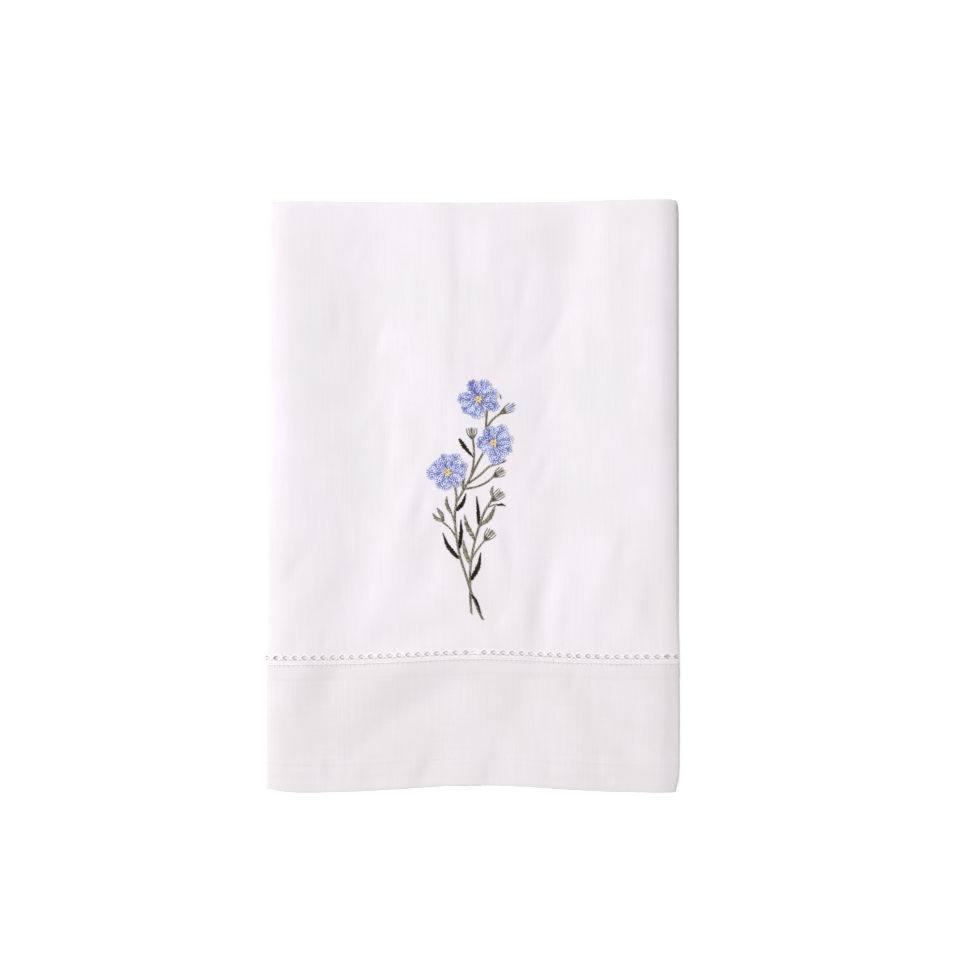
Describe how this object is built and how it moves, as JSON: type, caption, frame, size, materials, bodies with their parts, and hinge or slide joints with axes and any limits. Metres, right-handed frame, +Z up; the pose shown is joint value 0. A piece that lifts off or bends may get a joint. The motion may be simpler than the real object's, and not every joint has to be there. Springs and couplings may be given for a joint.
{
  "type": "hand towel",
  "caption": "Folded white hand towel with a deep hemstitched hem, its long sides turned back and the strip folded in half to lie flat.",
  "frame": {"origin": "centre of the folded towel's footprint, on the surface that it lies on", "axes": "+Z up out of the front panel, +Y from the deep hem to the top fold, +X to the right as the front panel is looked at from above"},
  "size_m": [0.1798, 0.2562, 0.0098],
  "materials": {
    "linen": "matt plain weave, white",
    "white_thread": "soft sheen, white hemstitching",
    "blue_thread": "soft sheen, shades of cornflower blue",
    "stem_thread": "soft sheen, grey green and dark olive",
    "yellow_thread": "soft sheen, golden yellow"
  },
  "bodies": {
    "root": {"towel": "linen"}
  },
  "joints": []
}
